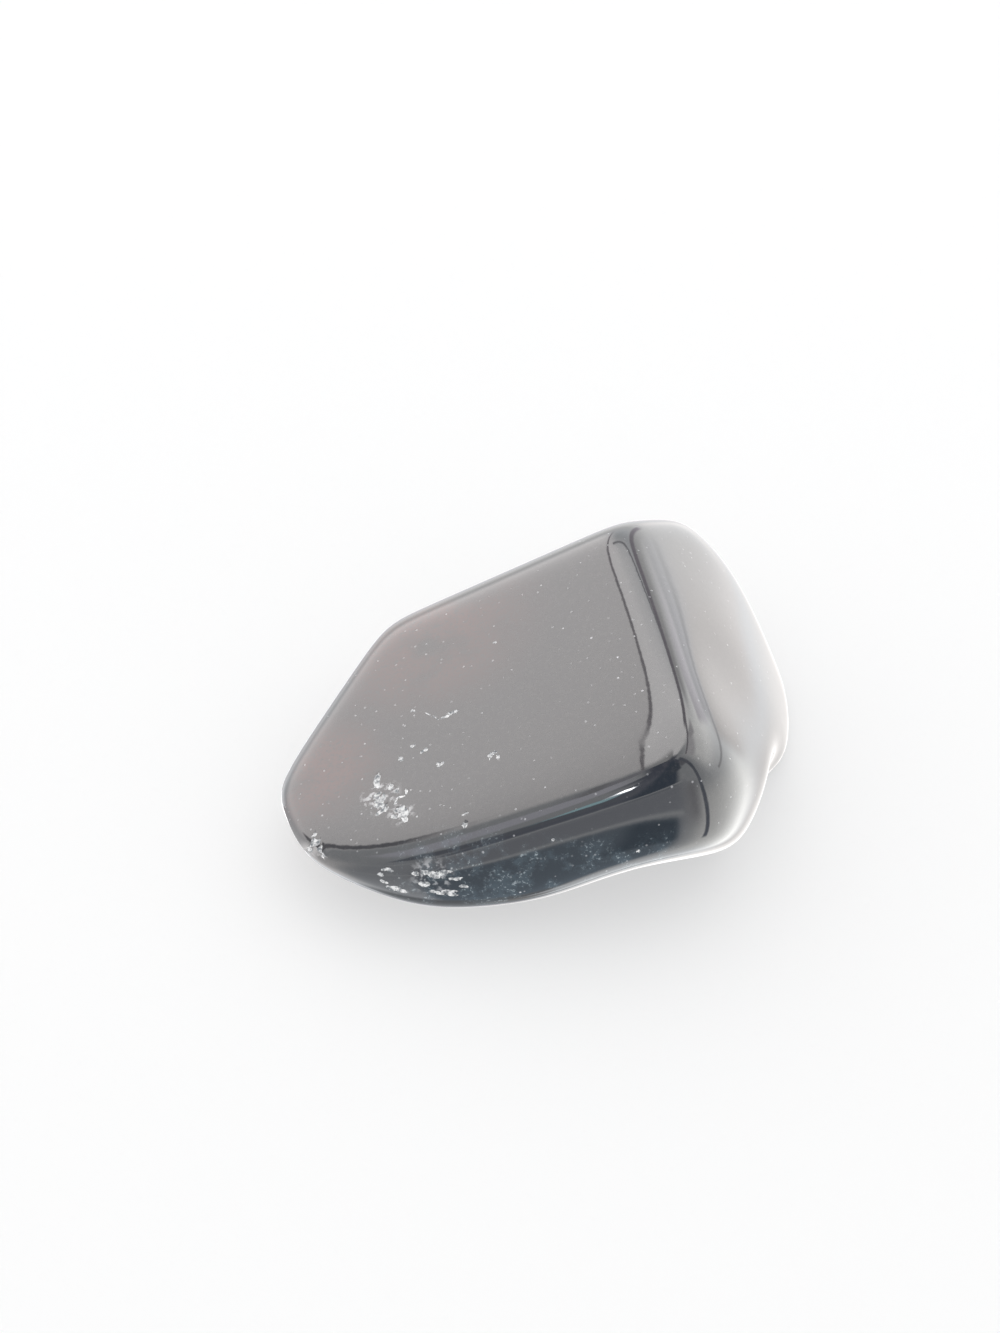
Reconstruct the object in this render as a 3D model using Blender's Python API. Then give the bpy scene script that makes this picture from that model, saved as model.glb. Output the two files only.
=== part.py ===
"""Obsidian chunk: one tumbled, polished piece of volcanic glass, lying on its underside.

The stone began as a rough block that broke along a dozen or so facets. Tumbling then wore its edges and
corners round, some more than others, and left a few wide, shallow conchoidal hollows. Its skin is where the
facets and the hollows, each softened by its own wear, balance each other: far inside a facet the skin lies
on the facet's plane, and near an edge the two planes that meet there give way to one another smoothly.

Sizes are millimetres here and metres in Blender. +X runs along the stone's longest side to its low tip, +Z
is up, and the origin is the middle of the stone's bounding box, on the surface that it lies on. The heart is
the point inside the stone from which the facets' and hollows' distances are measured.
"""

import math

import bmesh
import bpy
import numpy as np
from mathutils import Vector

MM = 0.001

GRID = 28  # quads along each side of the cube whose grid is spread over the stone
REST = 0.05  # height worn off below, which leaves the true flat that the stone rests on

# Facet: (azimuth of its outward normal in plan from +X towards +Y, tilt above the horizon, distance from
# the heart, softness of its edges), in degrees and millimetres.
FACETS = {
    "top": (194, 69, 5.6, 0.7),
    "front": (-89, 6, 15.1, 1.2),
    "right": (10, 50, 10.8, 0.6),
    "left_back": (154, 12, 11.6, 0.4),
    "back": (120, 39, 9.3, 0.5),
    "far_back": (100, -2, 14.2, 1.1),
    "base": (0, -90, 5.1, 0.3),
    "under_front": (-73, -61, 8.9, 0.7),
    "under_left": (200, -70, 7.3, 0.8),
    "under_right": (-22, -15, 14.9, 1.2),
    "right_front": (-37, 23, 16.8, 2.3),
    "back_right": (4, 26, 12.9, 0.8),
    "under_back": (91, -40, 10.6, 1.0),
    "left_tip": (246, -10, 17.7, 0.9),
}

# Hollow: (azimuth and tilt, seen from the heart, of the ball that fits it, distance from the heart to the
# ball's near side, radius of the ball), in degrees and millimetres.
HOLLOWS = {
    "right_face": (-4, 33, 12.4, 20),
    "under_the_tip": (-17, -17, 13.9, 6),
    "front_edge": (-67, -27, 12.2, 16),
}
HOLLOW_SOFTNESS = 0.6

FIRST_REACH = 8.0  # a distance from the heart that is near the skin everywhere
NEWTON_STEPS = 60
LONGEST_STEP = 1.0
LEAST_SLOPE = 0.05  # keeps a step finite where the skin is nearly edge-on


def outward(azimuth, tilt):
    """Unit vector that leaves the heart at this azimuth and tilt, in degrees."""
    turn = math.radians(azimuth)
    rise = math.radians(tilt)
    return np.array([math.cos(rise) * math.cos(turn), math.cos(rise) * math.sin(turn), math.sin(rise)])


def reach(directions):
    """How far the worn skin lies from the heart along each unit direction, in millimetres.

    A point is outside the stone where the sum of exp(distance past a facet or into a ball / softness) is
    over one. Newton's method finds where the logarithm of that sum is zero.
    """
    facing = np.array([outward(facet[0], facet[1]) for facet in FACETS.values()])
    distance = np.array([facet[2] for facet in FACETS.values()])
    softness = np.array([facet[3] for facet in FACETS.values()])
    balls = np.array([outward(hollow[0], hollow[1]) * (hollow[2] + hollow[3]) for hollow in HOLLOWS.values()])
    radius = np.array([hollow[3] for hollow in HOLLOWS.values()])
    found = np.full(len(directions), FIRST_REACH)
    for _ in range(NEWTON_STEPS):
        points = directions * found[:, None]
        from_balls = points[:, None, :] - balls
        gap = np.linalg.norm(from_balls, axis=2)
        past = np.hstack([(points @ facing.T - distance) / softness, (radius - gap) / HOLLOW_SOFTNESS])
        most = past.max(axis=1, keepdims=True)
        share = np.exp(past - most)
        outside = most[:, 0] + np.log(share.sum(axis=1))
        along_balls = -(from_balls * directions[:, None, :]).sum(axis=2) / gap
        steep = np.hstack([directions @ facing.T / softness, along_balls / HOLLOW_SOFTNESS])
        slope = (share * steep).sum(axis=1) / share.sum(axis=1)
        found -= np.clip(outside / np.maximum(slope, LEAST_SLOPE), -LONGEST_STEP, LONGEST_STEP)
    return found


def spread_skin(bm):
    """Spread a cube's even grid over the stone's skin."""
    bmesh.ops.create_cube(bm, size=2.0)
    bmesh.ops.subdivide_edges(bm, edges=bm.edges[:], cuts=GRID - 1, use_grid_fill=True)
    corners = np.array([point.co for point in bm.verts])
    directions = corners / np.linalg.norm(corners, axis=1)[:, None]
    for point, direction, far in zip(bm.verts, directions, reach(directions)):
        point.co = Vector(direction * far) * MM


def settle(bm):
    """Wear the rest flat, and put the origin under the middle of the stone."""
    floor = min(point.co.z for point in bm.verts) + REST * MM
    cut = bmesh.ops.bisect_plane(
        bm,
        geom=bm.verts[:] + bm.edges[:] + bm.faces[:],
        dist=1e-7,
        plane_co=Vector((0, 0, floor)),
        plane_no=Vector((0, 0, -1)),
        clear_outer=True,
    )
    rim = [piece for piece in cut["geom_cut"] if isinstance(piece, bmesh.types.BMEdge)]
    bmesh.ops.edgeloop_fill(bm, edges=rim)
    wide = [point.co.x for point in bm.verts]
    deep = [point.co.y for point in bm.verts]
    middle = Vector(((min(wide) + max(wide)) / 2, (min(deep) + max(deep)) / 2, floor))
    bmesh.ops.translate(bm, verts=bm.verts[:], vec=-middle)


def polished_obsidian():
    """Near-black volcanic glass with a trace of mahogany brown, polished to a gloss."""
    material = bpy.data.materials.new("polished_obsidian")
    material.use_nodes = True
    shader = material.node_tree.nodes["Principled BSDF"]
    shader.inputs["Base Color"].default_value = (0.014, 0.010, 0.011, 1)
    shader.inputs["Roughness"].default_value = 0.06
    shader.inputs["IOR"].default_value = 1.5
    return material


def main():
    for old in list(bpy.data.objects):
        bpy.data.objects.remove(old)

    bm = bmesh.new()
    spread_skin(bm)
    settle(bm)
    mesh = bpy.data.meshes.new("obsidian_chunk")
    bm.to_mesh(mesh)
    bm.free()
    mesh.shade_smooth()
    mesh.materials.append(polished_obsidian())
    stone = bpy.data.objects.new("obsidian_chunk", mesh)
    bpy.context.scene.collection.objects.link(stone)


main()
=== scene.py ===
"""Obsidian chunk: one tumbled, polished piece of volcanic glass, lying on its underside.

Everything is in metres, but the named sizes and places are in millimetres and degrees. +X runs along the
stone's longest side to its low tip, +Z is up, and the origin is the middle of the stone's bounding box in
plan, on the surface that it lies on.
"""

import math
import random

import bpy
import numpy as np
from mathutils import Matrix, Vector


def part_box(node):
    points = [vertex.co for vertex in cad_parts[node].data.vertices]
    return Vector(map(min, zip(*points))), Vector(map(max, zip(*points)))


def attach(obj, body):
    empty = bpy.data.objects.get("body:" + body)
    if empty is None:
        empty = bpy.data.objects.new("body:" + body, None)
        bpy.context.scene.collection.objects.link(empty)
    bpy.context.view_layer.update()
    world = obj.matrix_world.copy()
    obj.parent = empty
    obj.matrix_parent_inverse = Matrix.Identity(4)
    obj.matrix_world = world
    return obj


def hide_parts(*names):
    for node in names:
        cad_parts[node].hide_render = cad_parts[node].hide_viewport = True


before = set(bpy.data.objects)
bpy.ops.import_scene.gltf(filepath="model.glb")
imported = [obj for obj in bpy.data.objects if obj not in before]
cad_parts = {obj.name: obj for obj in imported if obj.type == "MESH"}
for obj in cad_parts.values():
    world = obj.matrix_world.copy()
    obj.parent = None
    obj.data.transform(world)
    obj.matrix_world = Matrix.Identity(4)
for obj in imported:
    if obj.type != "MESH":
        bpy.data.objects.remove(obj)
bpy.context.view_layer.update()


# The stone: a lump of volcanic glass that broke along a dozen or so facets. Tumbling wore its edges and
# corners round, some more than others, and left a few wide, shallow hollows. It is solid, in one piece, and
# lies loose on a small flat that is worn off its underside.
MM = 0.001
HEART = Vector((0, 0, 5.1))  # the point inside the stone that its facets and hollows are measured from

# Facet: (azimuth of its outward normal in plan from +X towards +Y, tilt above the horizon, distance from the
# heart, softness of its edges).
FACETS = {
    "top": (194, 69, 5.6, 0.7),
    "front": (-89, 6, 15.1, 1.2),
    "right": (10, 50, 10.8, 0.6),
    "left_back": (154, 12, 11.6, 0.4),
    "back": (120, 39, 9.3, 0.5),
    "far_back": (100, -2, 14.2, 1.1),
    "base": (0, -90, 5.1, 0.3),
    "under_front": (-73, -61, 8.9, 0.7),
    "under_left": (200, -70, 7.3, 0.8),
    "under_right": (-22, -15, 14.9, 1.2),
    "right_front": (-37, 23, 16.8, 2.3),
    "back_right": (4, 26, 12.9, 0.8),
    "under_back": (91, -40, 10.6, 1.0),
    "left_tip": (246, -10, 17.7, 0.9),
}

# Hollow: (azimuth and tilt, seen from the heart, of the ball that fits it, distance from the heart to the
# ball's near side, radius of the ball).
HOLLOWS = {
    "right_face": (-4, 33, 12.4, 20),
    "under_the_tip": (-17, -17, 13.9, 6),
    "front_edge": (-67, -27, 12.2, 16),
}
HOLLOW_SOFTNESS = 0.6
WORN_FLAT = 0.05

FIRST_REACH = 8.0  # a distance from the heart that is near the skin everywhere
NEWTON_STEPS = 60
LONGEST_STEP = 1.0
LEAST_SLOPE = 0.05  # keeps a step finite where the skin is nearly edge-on

BLANK_RADIUS = 10  # of the ball whose points are moved to the skin
BLANK_FINENESS = 7
CUT_TOLERANCE = 0.00001  # how near the cut of the flat a point counts as on it
SHARPEST_SMOOTH = 40  # an edge that turns more than this stays sharp


def outward(azimuth, tilt):
    """Unit vector that leaves the heart at this azimuth and tilt, in degrees."""
    turn, rise = math.radians(azimuth), math.radians(tilt)
    return (math.cos(rise) * math.cos(turn), math.cos(rise) * math.sin(turn), math.sin(rise))


def reach_of_stone(directions):
    """How far the worn skin lies from the heart along each unit direction, in millimetres.

    A point is outside the stone where the sum of exp(distance past a facet or into a ball / softness) is
    over one. Newton's method finds where the logarithm of that sum is zero.
    """
    facing = np.array([outward(azimuth, tilt) for azimuth, tilt, _, _ in FACETS.values()])
    distance, softness = np.array([facet[2:] for facet in FACETS.values()]).T
    ball_facing = np.array([outward(azimuth, tilt) for azimuth, tilt, _, _ in HOLLOWS.values()])
    nearest, radius = np.array([hollow[2:] for hollow in HOLLOWS.values()]).T
    balls = ball_facing * (nearest + radius)[:, None]
    reach = np.full(len(directions), FIRST_REACH)
    for _ in range(NEWTON_STEPS):
        points = directions * reach[:, None]
        from_balls = points[:, None, :] - balls
        gap = np.linalg.norm(from_balls, axis=2)
        past = np.hstack([(points @ facing.T - distance) / softness, (radius - gap) / HOLLOW_SOFTNESS])
        most = past.max(axis=1, keepdims=True)
        share = np.exp(past - most)
        outside = most[:, 0] + np.log(share.sum(axis=1))
        steep = np.hstack([
            directions @ facing.T / softness,
            -(from_balls * directions[:, None, :]).sum(axis=2) / gap / HOLLOW_SOFTNESS,
        ])
        slope = (share * steep).sum(axis=1) / share.sum(axis=1)
        reach -= np.clip(outside / np.maximum(slope, LEAST_SLOPE), -LONGEST_STEP, LONGEST_STEP)
    return reach


bpy.ops.object.select_all(action="DESELECT")
bpy.ops.mesh.primitive_ico_sphere_add(
    subdivisions=BLANK_FINENESS, radius=BLANK_RADIUS * MM, location=(0, 0, 0),
)
stone = bpy.context.object
stone.name = "stone"
directions = np.array([point.co.normalized() for point in stone.data.vertices])
skin = (directions * reach_of_stone(directions)[:, None] + np.array(HEART)) * MM
stone.data.vertices.foreach_set("co", skin.ravel())
stone.data.update()

low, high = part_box("obsidian_chunk")
bpy.ops.object.mode_set(mode="EDIT")
bpy.ops.mesh.select_all(action="SELECT")
bpy.ops.transform.translate(value=(
    (low.x + high.x) / 2 - (skin[:, 0].min() + skin[:, 0].max()) / 2,
    (low.y + high.y) / 2 - (skin[:, 1].min() + skin[:, 1].max()) / 2,
    low.z - skin[:, 2].min() - WORN_FLAT * MM,
))
bpy.ops.mesh.select_all(action="SELECT")
bpy.ops.mesh.bisect(
    plane_co=(0, 0, low.z), plane_no=(0, 0, -1), threshold=CUT_TOLERANCE * MM,
    use_fill=True, clear_outer=True,
)
bpy.ops.mesh.select_all(action="SELECT")
bpy.ops.mesh.quads_convert_to_tris(ngon_method="BEAUTY")
bpy.ops.mesh.normals_make_consistent(inside=False)
bpy.ops.object.mode_set(mode="OBJECT")

# Its chips: where the tumbler and later knocks bruised the glass, small shallow pits with crushed, whitish
# floors. Chip: (place on the skin, length, width, turn in plan). A few ragged bites, each a flat ball whose
# points are pushed in or out, cut it.
CHIPS = (
    (-9.8, -7.7, 6.7, 1.4, 0.45, 84), (-9.7, -8.4, 6.7, 0.6, 0.3, 100), (-9.7, -9.3, 6.7, 0.6, 0.4, 20),
    (-9.6, -9.9, 6.6, 1.1, 0.7, 80), (-9.4, -10.5, 6.6, 0.9, 0.5, 30), (-8.9, -8.9, 6.9, 0.6, 0.4, 100),
    (-8.6, -9.3, 7.0, 0.4, 0.35, 0), (-8.6, -10.1, 7.0, 0.5, 0.2, 60), (-8.3, -9.9, 7.0, 0.5, 0.18, 10),
    (-8.0, -9.6, 7.1, 0.4, 0.18, 80), (-8.4, -10.9, 6.9, 0.8, 0.6, 70), (-8.0, -11.4, 7.0, 0.9, 0.5, 100),
    (-8.7, -11.3, 6.8, 0.5, 0.3, 0), (-8.4, -6.8, 7.3, 0.5, 0.3, 70), (-7.7, -6.1, 7.6, 0.3, 0.25, 0),
    (-7.8, -3.1, 7.9, 0.28, 0.25, 0), (-6.9, -3.7, 8.1, 0.7, 0.08, 135), (-6.4, -4.3, 8.3, 0.6, 0.08, 125),
    (-5.6, -4.3, 8.6, 1.0, 0.3, 8), (-6.1, -8.2, 8.1, 0.42, 0.36, 0), (-3.2, -8.7, 9.1, 0.55, 0.26, 60),
    (-2.9, -8.5, 9.1, 0.5, 0.22, 0), (-2.7, -8.9, 9.2, 0.45, 0.2, 110), (-2.9, 0.7, 10.0, 0.26, 0.22, 0),
    (-4.6, -13.3, 7.9, 0.45, 0.3, 80), (-4.6, -12.5, 8.0, 0.4, 0.14, 10), (-7.0, -6.7, 7.8, 0.5, 0.25, 30),
    (-13.4, -11.3, 4.8, 0.8, 0.6, 20), (-13.7, -11.6, 4.5, 0.5, 0.4, 0), (-13.0, -11.9, 4.7, 0.5, 0.35, 60),
    (-13.4, -10.8, 4.9, 0.4, 0.25, 0), (-12.7, -12.3, 4.6, 0.4, 0.2, 120), (-9.1, -14.3, 5.4, 0.7, 0.25, 0),
    (-9.4, -14.3, 5.0, 0.4, 0.3, 0), (-9.2, -14.4, 4.6, 0.5, 0.3, 0), (-8.5, -14.6, 4.2, 1.2, 0.6, -5),
    (-6.9, -14.9, 4.8, 0.6, 0.5, 0), (-7.4, -14.8, 5.5, 0.5, 0.3, 0), (-6.7, -14.8, 5.6, 0.8, 0.34, 0),
    (-6.1, -14.8, 5.5, 0.8, 0.45, 10), (-5.6, -14.9, 5.7, 0.9, 0.3, -8), (-5.1, -14.9, 5.3, 0.7, 0.3, 0),
    (-5.7, -15.0, 4.2, 1.1, 0.5, 8), (-6.3, -15.0, 4.3, 0.6, 0.3, 0), (-4.7, -15.0, 4.8, 0.5, 0.3, 0),
    (0.4, -14.6, 8.0, 0.22, 0.2, 0), (5.2, -14.5, 7.0, 0.22, 0.2, 0),
)
BITES = 5
BALL_RADIUS = 0.5  # of the unit ball that a bite is made from
BITE_SIZE = 0.65  # share of the chip's length and width
BITE_SCATTER = 0.35  # how far off the chip's middle a bite may lie, as a share of the same
RAGGED = (0.6, 1.4)  # the least and the most that a bite's points are pushed in or out
BITE_HEIGHT = 0.6  # share of the chip's width
BITE_LIFT = 0.2  # how far a bite's middle stands above the skin, as a share of the bite's height
BITE_FINENESS = 2
BITE_VOXEL = 0.035
CHANCE_SEED = 7
GLASS_IOR = 1.5
CRUSHED_ROUGHNESS = 0.55


def picked(*pieces):
    """Select these pieces alone, the first of them active."""
    bpy.ops.object.select_all(action="DESELECT")
    for piece in pieces:
        piece.select_set(True)
    bpy.context.view_layer.objects.active = pieces[0]


def resized(scale):
    """Scale the picked pieces about the origin, in their meshes."""
    bpy.ops.transform.resize(value=(scale, scale, scale))
    bpy.ops.object.transform_apply(location=True, rotation=False, scale=True)


chance = random.Random(CHANCE_SEED)
bites = []
for x, y, z, length, width, turn in CHIPS:
    _, place, facing, _ = stone.closest_point_on_mesh(Vector((x, y, z)) * MM)
    along = Vector((math.cos(math.radians(turn)), math.sin(math.radians(turn)), 0))
    along = (along - facing * along.dot(facing)).normalized()
    across = facing.cross(along)
    for _ in range(BITES):
        shift = Vector((
            chance.uniform(-BITE_SCATTER, BITE_SCATTER),
            chance.uniform(-BITE_SCATTER, BITE_SCATTER),
            0,
        ))
        bpy.ops.object.select_all(action="DESELECT")
        bpy.ops.mesh.primitive_ico_sphere_add(
            subdivisions=BITE_FINENESS, radius=BALL_RADIUS, location=(0, 0, 0),
        )
        bite = bpy.context.object
        for point in bite.data.vertices:
            spot = point.co * chance.uniform(*RAGGED) * BITE_SIZE + shift
            rise = (point.co.z + BITE_LIFT) * width * BITE_HEIGHT
            point.co = place + (along * spot.x * length + across * spot.y * width + facing * rise) * MM
        bites.append(bite)

bruised = bpy.data.materials.new("bruised_glass")
bruised.use_nodes = True
crushed = bruised.node_tree.nodes["Principled BSDF"]
crushed.inputs["Roughness"].default_value = CRUSHED_ROUGHNESS
crushed.inputs["IOR"].default_value = GLASS_IOR
glass = bpy.data.materials.new("polished_obsidian")

# The cutting is done a thousand times as large, where the smallest bites are well within the tools' accuracy.
picked(*bites)
bpy.ops.object.join()
cutter = bpy.context.object
picked(cutter, stone)
resized(1 / MM)
picked(cutter)
cutter.data.remesh_voxel_size = BITE_VOXEL
bpy.ops.object.voxel_remesh()
cutter.data.materials.append(bruised)
picked(stone)
stone.data.materials.append(glass)
chipped = stone.modifiers.new("chips", "BOOLEAN")
chipped.operation = "DIFFERENCE"
chipped.object = cutter
chipped.solver = "MANIFOLD"
chipped.material_mode = "TRANSFER"
bpy.ops.object.modifier_apply(modifier="chips")
bpy.data.objects.remove(cutter)

# Slivers that the chips cut free fall away.
bpy.ops.object.mode_set(mode="EDIT")
bpy.ops.mesh.select_all(action="SELECT")
bpy.ops.mesh.separate(type="LOOSE")
bpy.ops.object.mode_set(mode="OBJECT")
stone = max(bpy.context.selected_objects, key=lambda piece: len(piece.data.vertices))
for sliver in bpy.context.selected_objects:
    if sliver != stone:
        bpy.data.objects.remove(sliver)
stone.name = "stone"
picked(stone)
resized(MM)
bpy.ops.object.shade_smooth_by_angle(angle=math.radians(SHARPEST_SMOOTH))

# Its glass: near black, with mahogany brown showing through at the left, a faint haze of grit marks all over,
# and blue-grey clouds and crumbs of them on the worn front. A little dust lies on it, and the glass round the
# worst chips is bruised pale. It is polished all over, with only the faintest ripple left.
NEAR_BLACK = (0.010, 0.010, 0.012, 1)
MAHOGANY = (0.075, 0.027, 0.022, 1)
HAZE_GREY = (0.028, 0.026, 0.027, 1)
CLOUD_BLUE = (0.040, 0.055, 0.066, 1)
CRUMB_GREY = (0.30, 0.34, 0.36, 1)
DUST_WHITE = (0.62, 0.62, 0.64, 1)
BRUISE_PALE = (0.42, 0.42, 0.43, 1)
CRUSHED_DARK = (0.14, 0.15, 0.16, 1)
CRUSHED_PALE = (0.78, 0.78, 0.78, 1)

# Patch: (its middle, the radius that it fills, the radius where it ends).
BROWN_PATCHES = (((-7, 3, 9), 1, 9), ((-13, -6, 5.5), 1, 5.5))
BRUISES = (((-9.6, -9.4, 6.6), 0.5, 1.6), ((-8.3, -11.1, 6.9), 0.4, 1.1), ((-6.5, -14.9, 5.3), 0.4, 1.6))

# The worn front: where it starts and is full, as the depth y, the height z and the distance from x = 0.
FRONT_DEPTH = (-12.6, -14.2)
FRONT_HEIGHT = (8.6, 6.8)
FRONT_SPAN = (9.5, 6)
HAZE_DEPTH = (-15, -12)  # the haze gives way to the clouds there

# Noise: (patches per millimetre, detail, roughness).
COARSE = (0.35, 4, 0.5)
GRAIN = (3.5, 6, 0.7)
CLOUDS = (0.7, 5, 0.65)
CRUMBS = (5.5, 3, 0.6)
BRUISE_BREAKS = (2.6, 4, 0.5)
CRUMBLE = (4, 4, 0.65)
RIPPLE = (2, 1, 0.5)

# Range: (the noise where a mark starts, the noise where it is full).
BROWN_RANGE = (0.2, 0.62)
HAZE_RANGE = (0.42, 0.72)
CLOUD_RANGE = (0.44, 0.62)
CRUMB_RANGE = (0.56, 0.69)
BRUISE_RANGE = (0.48, 0.66)
CRUMBLE_RANGE = (0.38, 0.60)
CLOUD_SHARE = 0.8

# Dust: (cells per millimetre, radius of a speck, share of the cells that hold one).
FINE_DUST = (1.7, 0.09, 0.8)
COARSE_DUST = (0.7, 0.09, 0.45)
FINE_DUST_SHARE = 0.45
SPECK_CORE = 0.5  # a speck is full out to this share of its radius
SOLID_SPECK = 1.1  # over one, so that no speck is quite solid

POLISH = 0.015
GRAIN_ROUGHNESS = 0.05
DUST_ROUGHNESS = 0.4
BRUISE_ROUGHNESS = 0.2
RIPPLE_STRENGTH = 0.25
RIPPLE_HEIGHT = 0.004
COARSE_RIPPLE = 6.0  # how many times stronger the coarse waves are than the fine ones


def wired(node, given):
    """Set or link a node's inputs, given by their numbers."""
    for number, value in given.items():
        socket = node.inputs[number]
        if isinstance(value, bpy.types.NodeSocket):
            node.id_data.links.new(value, socket)
        else:
            socket.default_value = value
    return node


def worked_out(tree, operation, *values):
    """One Math node."""
    node = tree.nodes.new("ShaderNodeMath")
    node.operation = operation
    return wired(node, dict(enumerate(values))).outputs[0]


def together(tree, operation, *shares):
    """All the shares taken together by one operation, from first to last."""
    total = shares[0]
    for share in shares[1:]:
        total = worked_out(tree, operation, total, share)
    return total


def product(tree, *shares):
    """All the shares, multiplied."""
    return together(tree, "MULTIPLY", *shares)


def fade(tree, value, start, end):
    """0 before start and 1 past end, with a soft step between; start may be the larger."""
    node = tree.nodes.new("ShaderNodeMapRange")
    node.interpolation_type = "SMOOTHSTEP"
    return wired(node, {0: value, 1: start, 2: end}).outputs[0]


def laid_over(tree, under, over, share):
    """One colour laid over another."""
    node = tree.nodes.new("ShaderNodeMix")
    node.data_type = "RGBA"
    return wired(node, {0: share, 6: under, 7: over}).outputs[2]


def millimetres(tree):
    """Object coordinates in millimetres."""
    node = tree.nodes.new("ShaderNodeVectorMath")
    node.operation = "SCALE"
    tree.links.new(tree.nodes.new("ShaderNodeTexCoord").outputs["Object"], node.inputs[0])
    node.inputs["Scale"].default_value = 1 / MM
    return node.outputs[0]


def mottle(tree, place, scale, detail, roughness):
    """Even noise, between 0 and 1."""
    node = tree.nodes.new("ShaderNodeTexNoise")
    tree.links.new(place, node.inputs["Vector"])
    node.inputs["Scale"].default_value = scale
    node.inputs["Detail"].default_value = detail
    node.inputs["Roughness"].default_value = roughness
    return node.outputs[0]


def near(tree, place, patches):
    """1 where a patch is full, 0 past the ends of them all."""
    shares = []
    for middle, full, end in patches:
        node = tree.nodes.new("ShaderNodeVectorMath")
        node.operation = "DISTANCE"
        shares.append(fade(tree, wired(node, {0: place, 1: middle}).outputs["Value"], end, full))
    return together(tree, "MAXIMUM", *shares)


def specks(tree, place, scale, radius, kept):
    """Scattered round specks, in only a share of the cells."""
    node = tree.nodes.new("ShaderNodeTexVoronoi")
    tree.links.new(place, node.inputs["Vector"])
    node.inputs["Scale"].default_value = scale
    shade = wired(tree.nodes.new("ShaderNodeSeparateColor"), {0: node.outputs["Color"]}).outputs[0]
    speck = fade(tree, node.outputs["Distance"], radius * scale, radius * scale * SPECK_CORE)
    return product(tree, speck, fade(tree, shade, 1 - kept, SOLID_SPECK))


glass.use_nodes = True
tree = glass.node_tree
shader = tree.nodes["Principled BSDF"]
place = millimetres(tree)
coarse = mottle(tree, place, *COARSE)
grain = mottle(tree, place, *GRAIN)
x, y, z = wired(tree.nodes.new("ShaderNodeSeparateXYZ"), {0: place}).outputs

brown = product(tree, near(tree, place, BROWN_PATCHES), fade(tree, coarse, *BROWN_RANGE))
colour = laid_over(tree, NEAR_BLACK, MAHOGANY, brown)
haze = product(tree, fade(tree, grain, *HAZE_RANGE), fade(tree, y, *HAZE_DEPTH))
colour = laid_over(tree, colour, HAZE_GREY, haze)
front = product(
    tree,
    fade(tree, y, *FRONT_DEPTH),
    fade(tree, z, *FRONT_HEIGHT),
    fade(tree, worked_out(tree, "ABSOLUTE", x), *FRONT_SPAN),
)
clouds = product(tree, fade(tree, mottle(tree, place, *CLOUDS), *CLOUD_RANGE), front)
colour = laid_over(tree, colour, CLOUD_BLUE, product(tree, clouds, CLOUD_SHARE))
crumbs = fade(tree, mottle(tree, place, *CRUMBS), *CRUMB_RANGE)
colour = laid_over(tree, colour, CRUMB_GREY, product(tree, crumbs, clouds))
fine_dust = product(tree, specks(tree, place, *FINE_DUST), FINE_DUST_SHARE)
dust = worked_out(tree, "MAXIMUM", fine_dust, specks(tree, place, *COARSE_DUST))
colour = laid_over(tree, colour, DUST_WHITE, dust)
breaks = fade(tree, mottle(tree, place, *BRUISE_BREAKS), *BRUISE_RANGE)
bruise = product(tree, near(tree, place, BRUISES), breaks)
tree.links.new(laid_over(tree, colour, BRUISE_PALE, bruise), shader.inputs["Base Color"])

rough = worked_out(tree, "MULTIPLY_ADD", grain, GRAIN_ROUGHNESS, POLISH)
rough = worked_out(tree, "ADD", rough, product(tree, dust, DUST_ROUGHNESS))
rough = worked_out(tree, "ADD", rough, product(tree, bruise, BRUISE_ROUGHNESS))
tree.links.new(rough, shader.inputs["Roughness"])
shader.inputs["IOR"].default_value = GLASS_IOR
ripple = worked_out(tree, "MULTIPLY_ADD", coarse, COARSE_RIPPLE, mottle(tree, place, *RIPPLE))
bump = tree.nodes.new("ShaderNodeBump")
bump.inputs["Strength"].default_value = RIPPLE_STRENGTH
bump.inputs["Distance"].default_value = RIPPLE_HEIGHT * MM
tree.links.new(ripple, bump.inputs["Height"])
tree.links.new(bump.outputs[0], shader.inputs["Normal"])

# The crushed floors of the chips are pale, with darker glass showing between the crushed grains.
tree = bruised.node_tree
crumble = fade(tree, mottle(tree, millimetres(tree), *CRUMBLE), *CRUMBLE_RANGE)
tree.links.new(laid_over(tree, CRUSHED_DARK, CRUSHED_PALE, crumble), crushed.inputs["Base Color"])

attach(stone, "root")
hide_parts("obsidian_chunk")


# The floor: a plain pale table, large enough to reach past every view. It glows a little, as a lit table
# does, and it doesn't show in the stone's polish, which mirrors the tent alone.
FLOOR_SIZE = 4000
FLOOR_GAP = 0.01  # how far it lies under the stone
FLOOR_GREY = (0.4, 0.4, 0.4, 1)
FLOOR_GLOW = (1, 1, 1, 1)
FLOOR_GLOW_STRENGTH = 0.52
FLOOR_ROUGHNESS = 0.9

bpy.ops.object.select_all(action="DESELECT")
bpy.ops.mesh.primitive_plane_add(size=FLOOR_SIZE * MM, location=(0, 0, -FLOOR_GAP * MM))
floor = bpy.context.object
floor.name = "floor"
pale = bpy.data.materials.new("pale_floor")
pale.use_nodes = True
paint = pale.node_tree.nodes["Principled BSDF"]
paint.inputs["Base Color"].default_value = FLOOR_GREY
paint.inputs["Emission Color"].default_value = FLOOR_GLOW
paint.inputs["Emission Strength"].default_value = FLOOR_GLOW_STRENGTH
paint.inputs["Roughness"].default_value = FLOOR_ROUGHNESS
floor.data.materials.append(pale)
floor.visible_glossy = False


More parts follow.
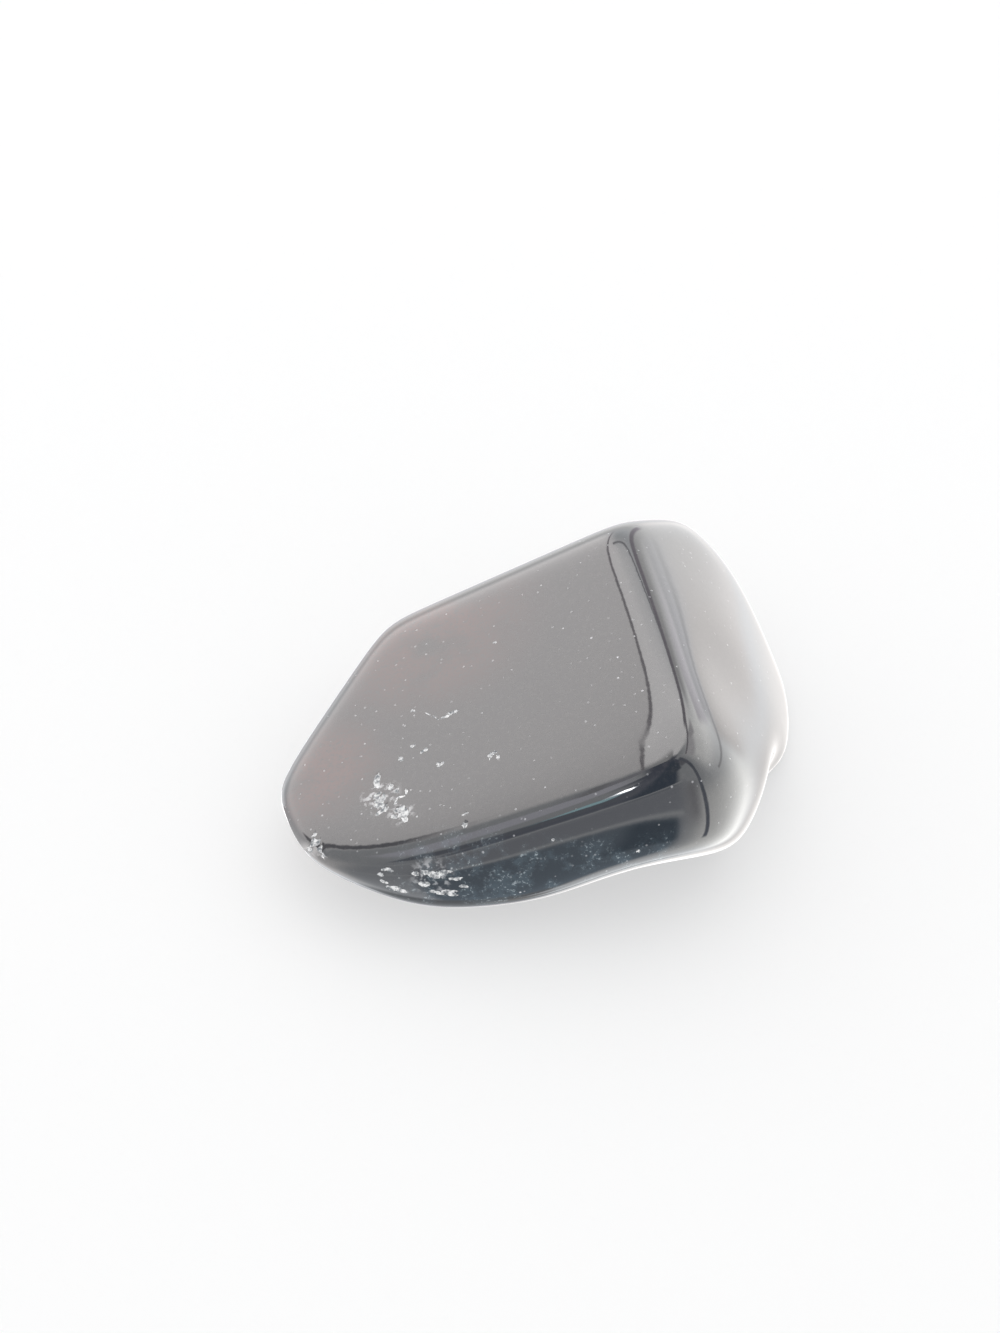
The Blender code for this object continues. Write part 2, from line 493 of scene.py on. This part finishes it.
# The light: a white tent all round the stone, open at the front, where the room is darker. Its walls are sewn
# along straight seams, and a small lamp hangs inside the opening. Only polished faces show it; all else gets
# plain, even light.
ROOM_GLOW = (1, 1, 1, 1)
ROOM_STRENGTH = 1.05
TENT_WHITE = (3.0, 3.1, 3.2, 1)

# The planes through the stone that the slanting seams lie in, each as a normal that points to its right.
ROOF_SEAM = (0.898, -0.005, 0.44)
ROOF_BEND = (0.926, 0.25, 0.281)
WALL_BEND = (0.603, 0.042, -0.207)
SEWN_EDGE = 0.01  # how softly a panel ends at such a plane, as a sine
SEAM_CORE = 0.5  # a seam is full out to this share of its half thickness
SEAM_FRINGE = 1.3  # and gone at this one
SEAM_ENDS = 6  # how softly a seam ends

world = bpy.data.worlds.new("studio")
bpy.context.scene.world = world
world.use_nodes = True
sky = world.node_tree
sky.nodes.clear()

direction = sky.nodes.new("ShaderNodeTexCoord").outputs["Generated"]
x, y, z = wired(sky.nodes.new("ShaderNodeSeparateXYZ"), {0: direction}).outputs
azimuth = worked_out(sky, "DEGREES", worked_out(sky, "ARCTAN2", y, x))
elevation = worked_out(sky, "DEGREES", worked_out(sky, "ARCSINE", z))


def window(turn, wide, rise, tall, soft):
    """1 within a part of the tent: its azimuth, half width, elevation, half height and soft edge."""
    aside = worked_out(sky, "WRAP", worked_out(sky, "SUBTRACT", azimuth, turn), 180.0, -180.0)
    above = worked_out(sky, "SUBTRACT", elevation, rise)
    return product(
        sky,
        fade(sky, worked_out(sky, "ABSOLUTE", aside), wide + soft / 2, wide - soft / 2),
        fade(sky, worked_out(sky, "ABSOLUTE", above), tall + soft / 2, tall - soft / 2),
    )


def side_of(plane):
    """The sine of how far a direction leans to the side that the plane's normal points to."""
    node = sky.nodes.new("ShaderNodeVectorMath")
    node.operation = "DOT_PRODUCT"
    return wired(node, {0: direction, 1: Vector(plane).normalized()}).outputs["Value"]


def panel(turn, wide, rise, tall, soft, past=()):
    """Where a panel of the tent shows: in its window, and past the planes that it is sewn along."""
    sewn = [fade(sky, side_of(plane), -SEWN_EDGE, SEWN_EDGE) for plane in past]
    return product(sky, window(turn, wide, rise, tall, soft), *sewn)


def seam(plane, thick, turn, wide, rise, tall):
    """Where a seam shows: within thick degrees of a plane on either side, and in its window."""
    off = worked_out(sky, "DEGREES", worked_out(sky, "ABSOLUTE", side_of(plane)))
    line = fade(sky, off, thick * SEAM_FRINGE, thick * SEAM_CORE)
    return product(sky, line, window(turn, wide, rise, tall, SEAM_ENDS))


def upright(turn):
    """Normal of the upright plane whose great circle stands at this azimuth."""
    return (-math.sin(math.radians(turn)), math.cos(math.radians(turn)), 0)


# Each row is laid over the rows before it: its glow, and where it shows.
TENT = (
    # left wall, brightest low down beside the table
    ((4.8, 4.7, 4.7), panel(185, 25, -22, 38, 30)),
    ((8.6, 8.4, 8.4), panel(174, 8, -2, 22, 12)),
    # back wall to the left of the roof seam, and the brighter roof past it
    ((5.6, 5.45, 5.45), panel(132, 30, 42, 31, 16)),
    ((7.4, 7.25, 7.25), panel(105, 48, 66, 26, 24, past=(ROOF_SEAM, ROOF_BEND))),
    ((3.4, 3.4, 3.4), panel(150, 40, 84, 8, 12)),
    # the dim foot of the back wall, and the dark table's far part below it
    ((2.5, 2.5, 2.5), panel(90, 32, -2, 14, 18)),
    ((0.95, 0.95, 1.0), panel(98, 26, -48, 34, 30)),
    ((2.4, 2.4, 2.4), panel(92, 34, -42, 3, 4)),
    # right wall, its reflection in the table, and the table's far right corner
    ((6.8, 6.8, 6.7), panel(28, 34, 36, 30, 34)),
    ((4.9, 4.9, 4.8), panel(2, 44, -38, 30, 26)),
    ((2.95, 2.85, 2.8), panel(60, 16, -10, 9, 10)),
    ((1.8, 1.75, 1.72), panel(66, 22, -44, 22, 26)),
    ((4.2, 4.1, 4.3), panel(54, 7, 14, 9, 6)),
    ((2.9, 2.9, 3.0), panel(62, 12, 1, 5, 6)),
    ((2.3, 2.3, 2.35), panel(45, 32, -2.6, 1.0, 1.6)),
    # the narrow wall between the right wall and the back
    ((2.8, 2.8, 2.8), panel(67, 6, 10, 26, 8)),
    ((4.5, 4.4, 4.5), panel(22, 26, 60, 10, 12)),
    ((3.8, 3.7, 3.8), panel(52, 7, 52, 8, 6)),
    # the front flaps and the opening between them, with the dark room beyond
    ((2.7, 2.8, 2.95), panel(-120, 26, -20, 60, 24)),
    ((2.0, 2.1, 2.3), panel(-80, 32, -3, 20, 22)),
    ((4.1, 4.1, 4.5), panel(-158, 16, 56, 13, 8)),
    ((2.3, 2.3, 2.5), panel(178, 9, 68, 6, 6)),
    ((1.1, 1.2, 1.45), panel(-90, 28, 50, 30, 10)),
    ((0.8, 0.9, 1.15), panel(-90, 50, 74, 10, 12)),
    ((0.7, 0.8, 1.05), panel(-110, 74, 81, 7, 6)),
    ((0.7, 0.8, 1.0), panel(0, 180, 90, 4, 6)),
    ((0.45, 0.62, 0.85), panel(-74, 17, 50, 34, 12)),
    ((0.5, 0.65, 0.85), panel(-62, 14, 66, 13, 8)),
    ((1.3, 1.35, 1.5), panel(-38, 8, 66, 8, 8)),
    ((1.2, 1.3, 1.5), panel(-117, 24, 36, 6, 5)),
    ((1.1, 1.35, 1.6), panel(-82, 26, -46, 27, 10)),
    ((0.55, 0.75, 0.95), panel(-68, 10, -30, 9, 6)),
    # the sill of the opening, in the table and above it
    ((3.3, 3.4, 3.5), panel(-102, 50, -18.5, 1.4, 4)),
    ((3.3, 3.4, 3.5), panel(-102, 50, 18.5, 1.4, 4)),
    # straight down
    ((0.9, 0.95, 1.0), panel(180, 130, -86, 16, 10)),
    ((1.1, 1.1, 1.1), panel(0, 50, -88, 8, 6)),
    # the slanting and the upright seams
    ((2.0, 1.9, 2.0), seam(ROOF_SEAM, 0.7, 101, 23, 60, 45)),
    ((2.0, 1.9, 2.0), seam(ROOF_BEND, 0.5, 148, 22, 60, 20)),
    ((2.1, 2.1, 2.2), seam(ROOF_SEAM, 1.4, 178, 12, 58, 16)),
    ((1.3, 1.3, 1.4), seam(upright(158), 3.5, 158, 20, 34, 18)),
    ((1.6, 1.5, 1.65), seam(upright(71), 2.8, 74, 40, 28, 28)),
    ((2.0, 1.9, 2.05), seam(WALL_BEND, 2.0, 36, 34, 62, 12)),
    # the level seam of the back wall, and the dark corner to the right of the opening
    ((1.6, 1.6, 1.7), panel(89, 15, 35.5, 0.8, 1.4)),
    ((2.1, 2.1, 2.2), panel(-41, 7, -8, 16, 16)),
    ((1.0, 1.1, 1.3), seam(upright(-27), 2.8, -27, 40, 18, 62)),
    # lamp
    ((3.5, 5.4, 5.8), panel(-115, 6, 45, 3.5, 4)),
    ((13, 14, 15), panel(-112, 5, 52.5, 3, 5)),
    ((90, 90, 90), panel(-112, 3.5, 53.5, 1.6, 3)),
)
light = TENT_WHITE
for glow, share in TENT:
    light = laid_over(sky, light, (*glow, 1), share)

mirrored = wired(sky.nodes.new("ShaderNodeBackground"), {0: light})
plain = wired(sky.nodes.new("ShaderNodeBackground"), {0: ROOM_GLOW, 1: ROOM_STRENGTH})
glossy = sky.nodes.new("ShaderNodeLightPath").outputs["Is Glossy Ray"]
mixed = wired(sky.nodes.new("ShaderNodeMixShader"), {0: glossy, 1: plain.outputs[0], 2: mirrored.outputs[0]})
wired(sky.nodes.new("ShaderNodeOutputWorld"), {0: mixed.outputs[0]})


# The camera: in front of the stone and above it, with a long lens.
CAMERA_PLACE = (-2.6, -135.49, 118.45)
CAMERA_TILT = 51  # up from straight down
LENS = 78.3
SENSOR_WIDTH = 36
CLIP_START = 5
CLIP_END = 10000

bpy.ops.object.camera_add(
    location=[distance * MM for distance in CAMERA_PLACE], rotation=(math.radians(CAMERA_TILT), 0, 0),
)
camera = bpy.context.object
camera.data.lens = LENS
camera.data.sensor_width = SENSOR_WIDTH
camera.data.clip_start = CLIP_START * MM
camera.data.clip_end = CLIP_END * MM
bpy.context.scene.camera = camera
bpy.context.scene.view_settings.view_transform = "Standard"
